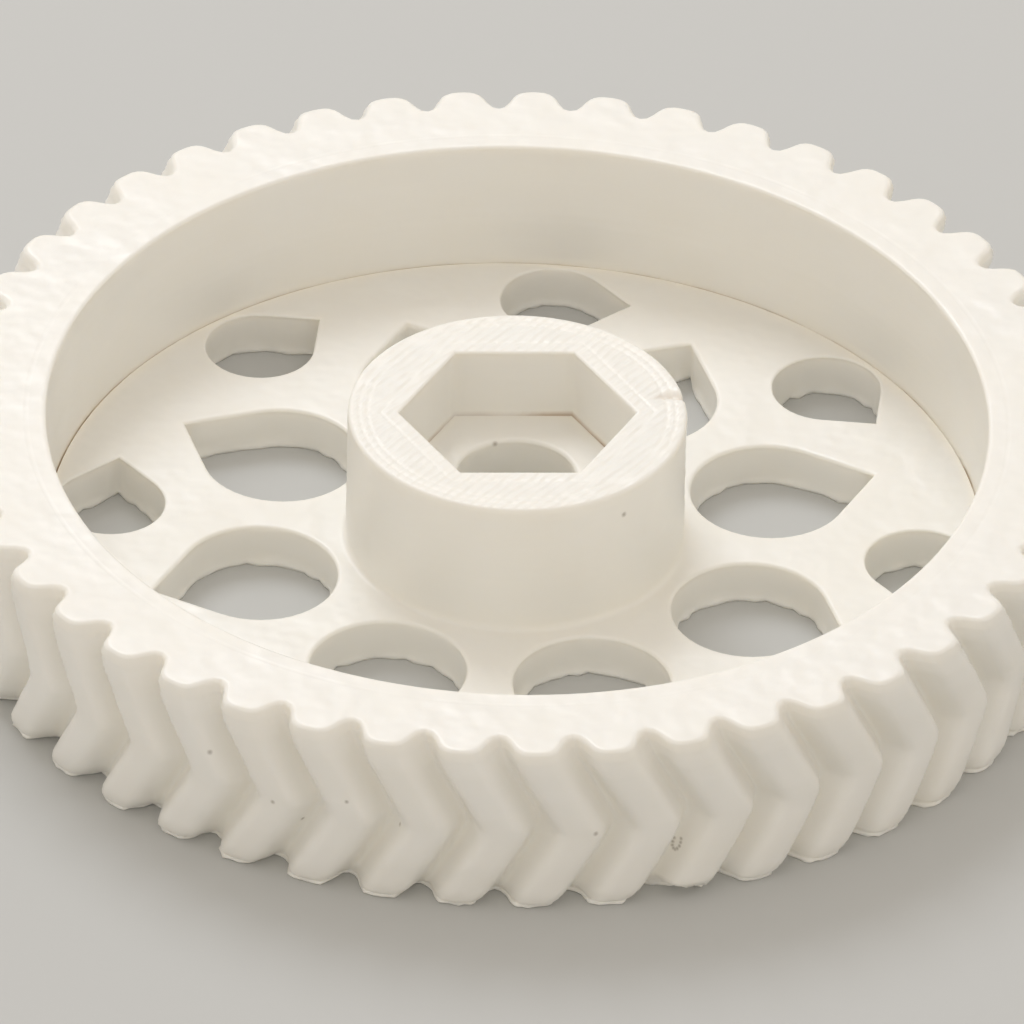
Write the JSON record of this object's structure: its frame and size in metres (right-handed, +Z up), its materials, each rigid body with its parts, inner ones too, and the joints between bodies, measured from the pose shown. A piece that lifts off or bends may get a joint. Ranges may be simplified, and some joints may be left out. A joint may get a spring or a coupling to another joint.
{
  "type": "herringbone gear",
  "caption": "Plastic herringbone gear printed in one piece, with a deep rim, a dished web with teardrop holes, and a raised hub with a hex bolt-head socket over its bore.",
  "frame": {"origin": "on the gear's axis, in the plane of its flat underside", "axes": "+Z up the axis towards the hub's socket; +X to the right as the picture shows the gear"},
  "size_m": [0.0738, 0.0738, 0.0123],
  "materials": {
    "printed_plastic": "warm white printed plastic, satin, with fine print layers"
  },
  "bodies": {
    "root": {"gear": "printed_plastic"}
  },
  "joints": []
}
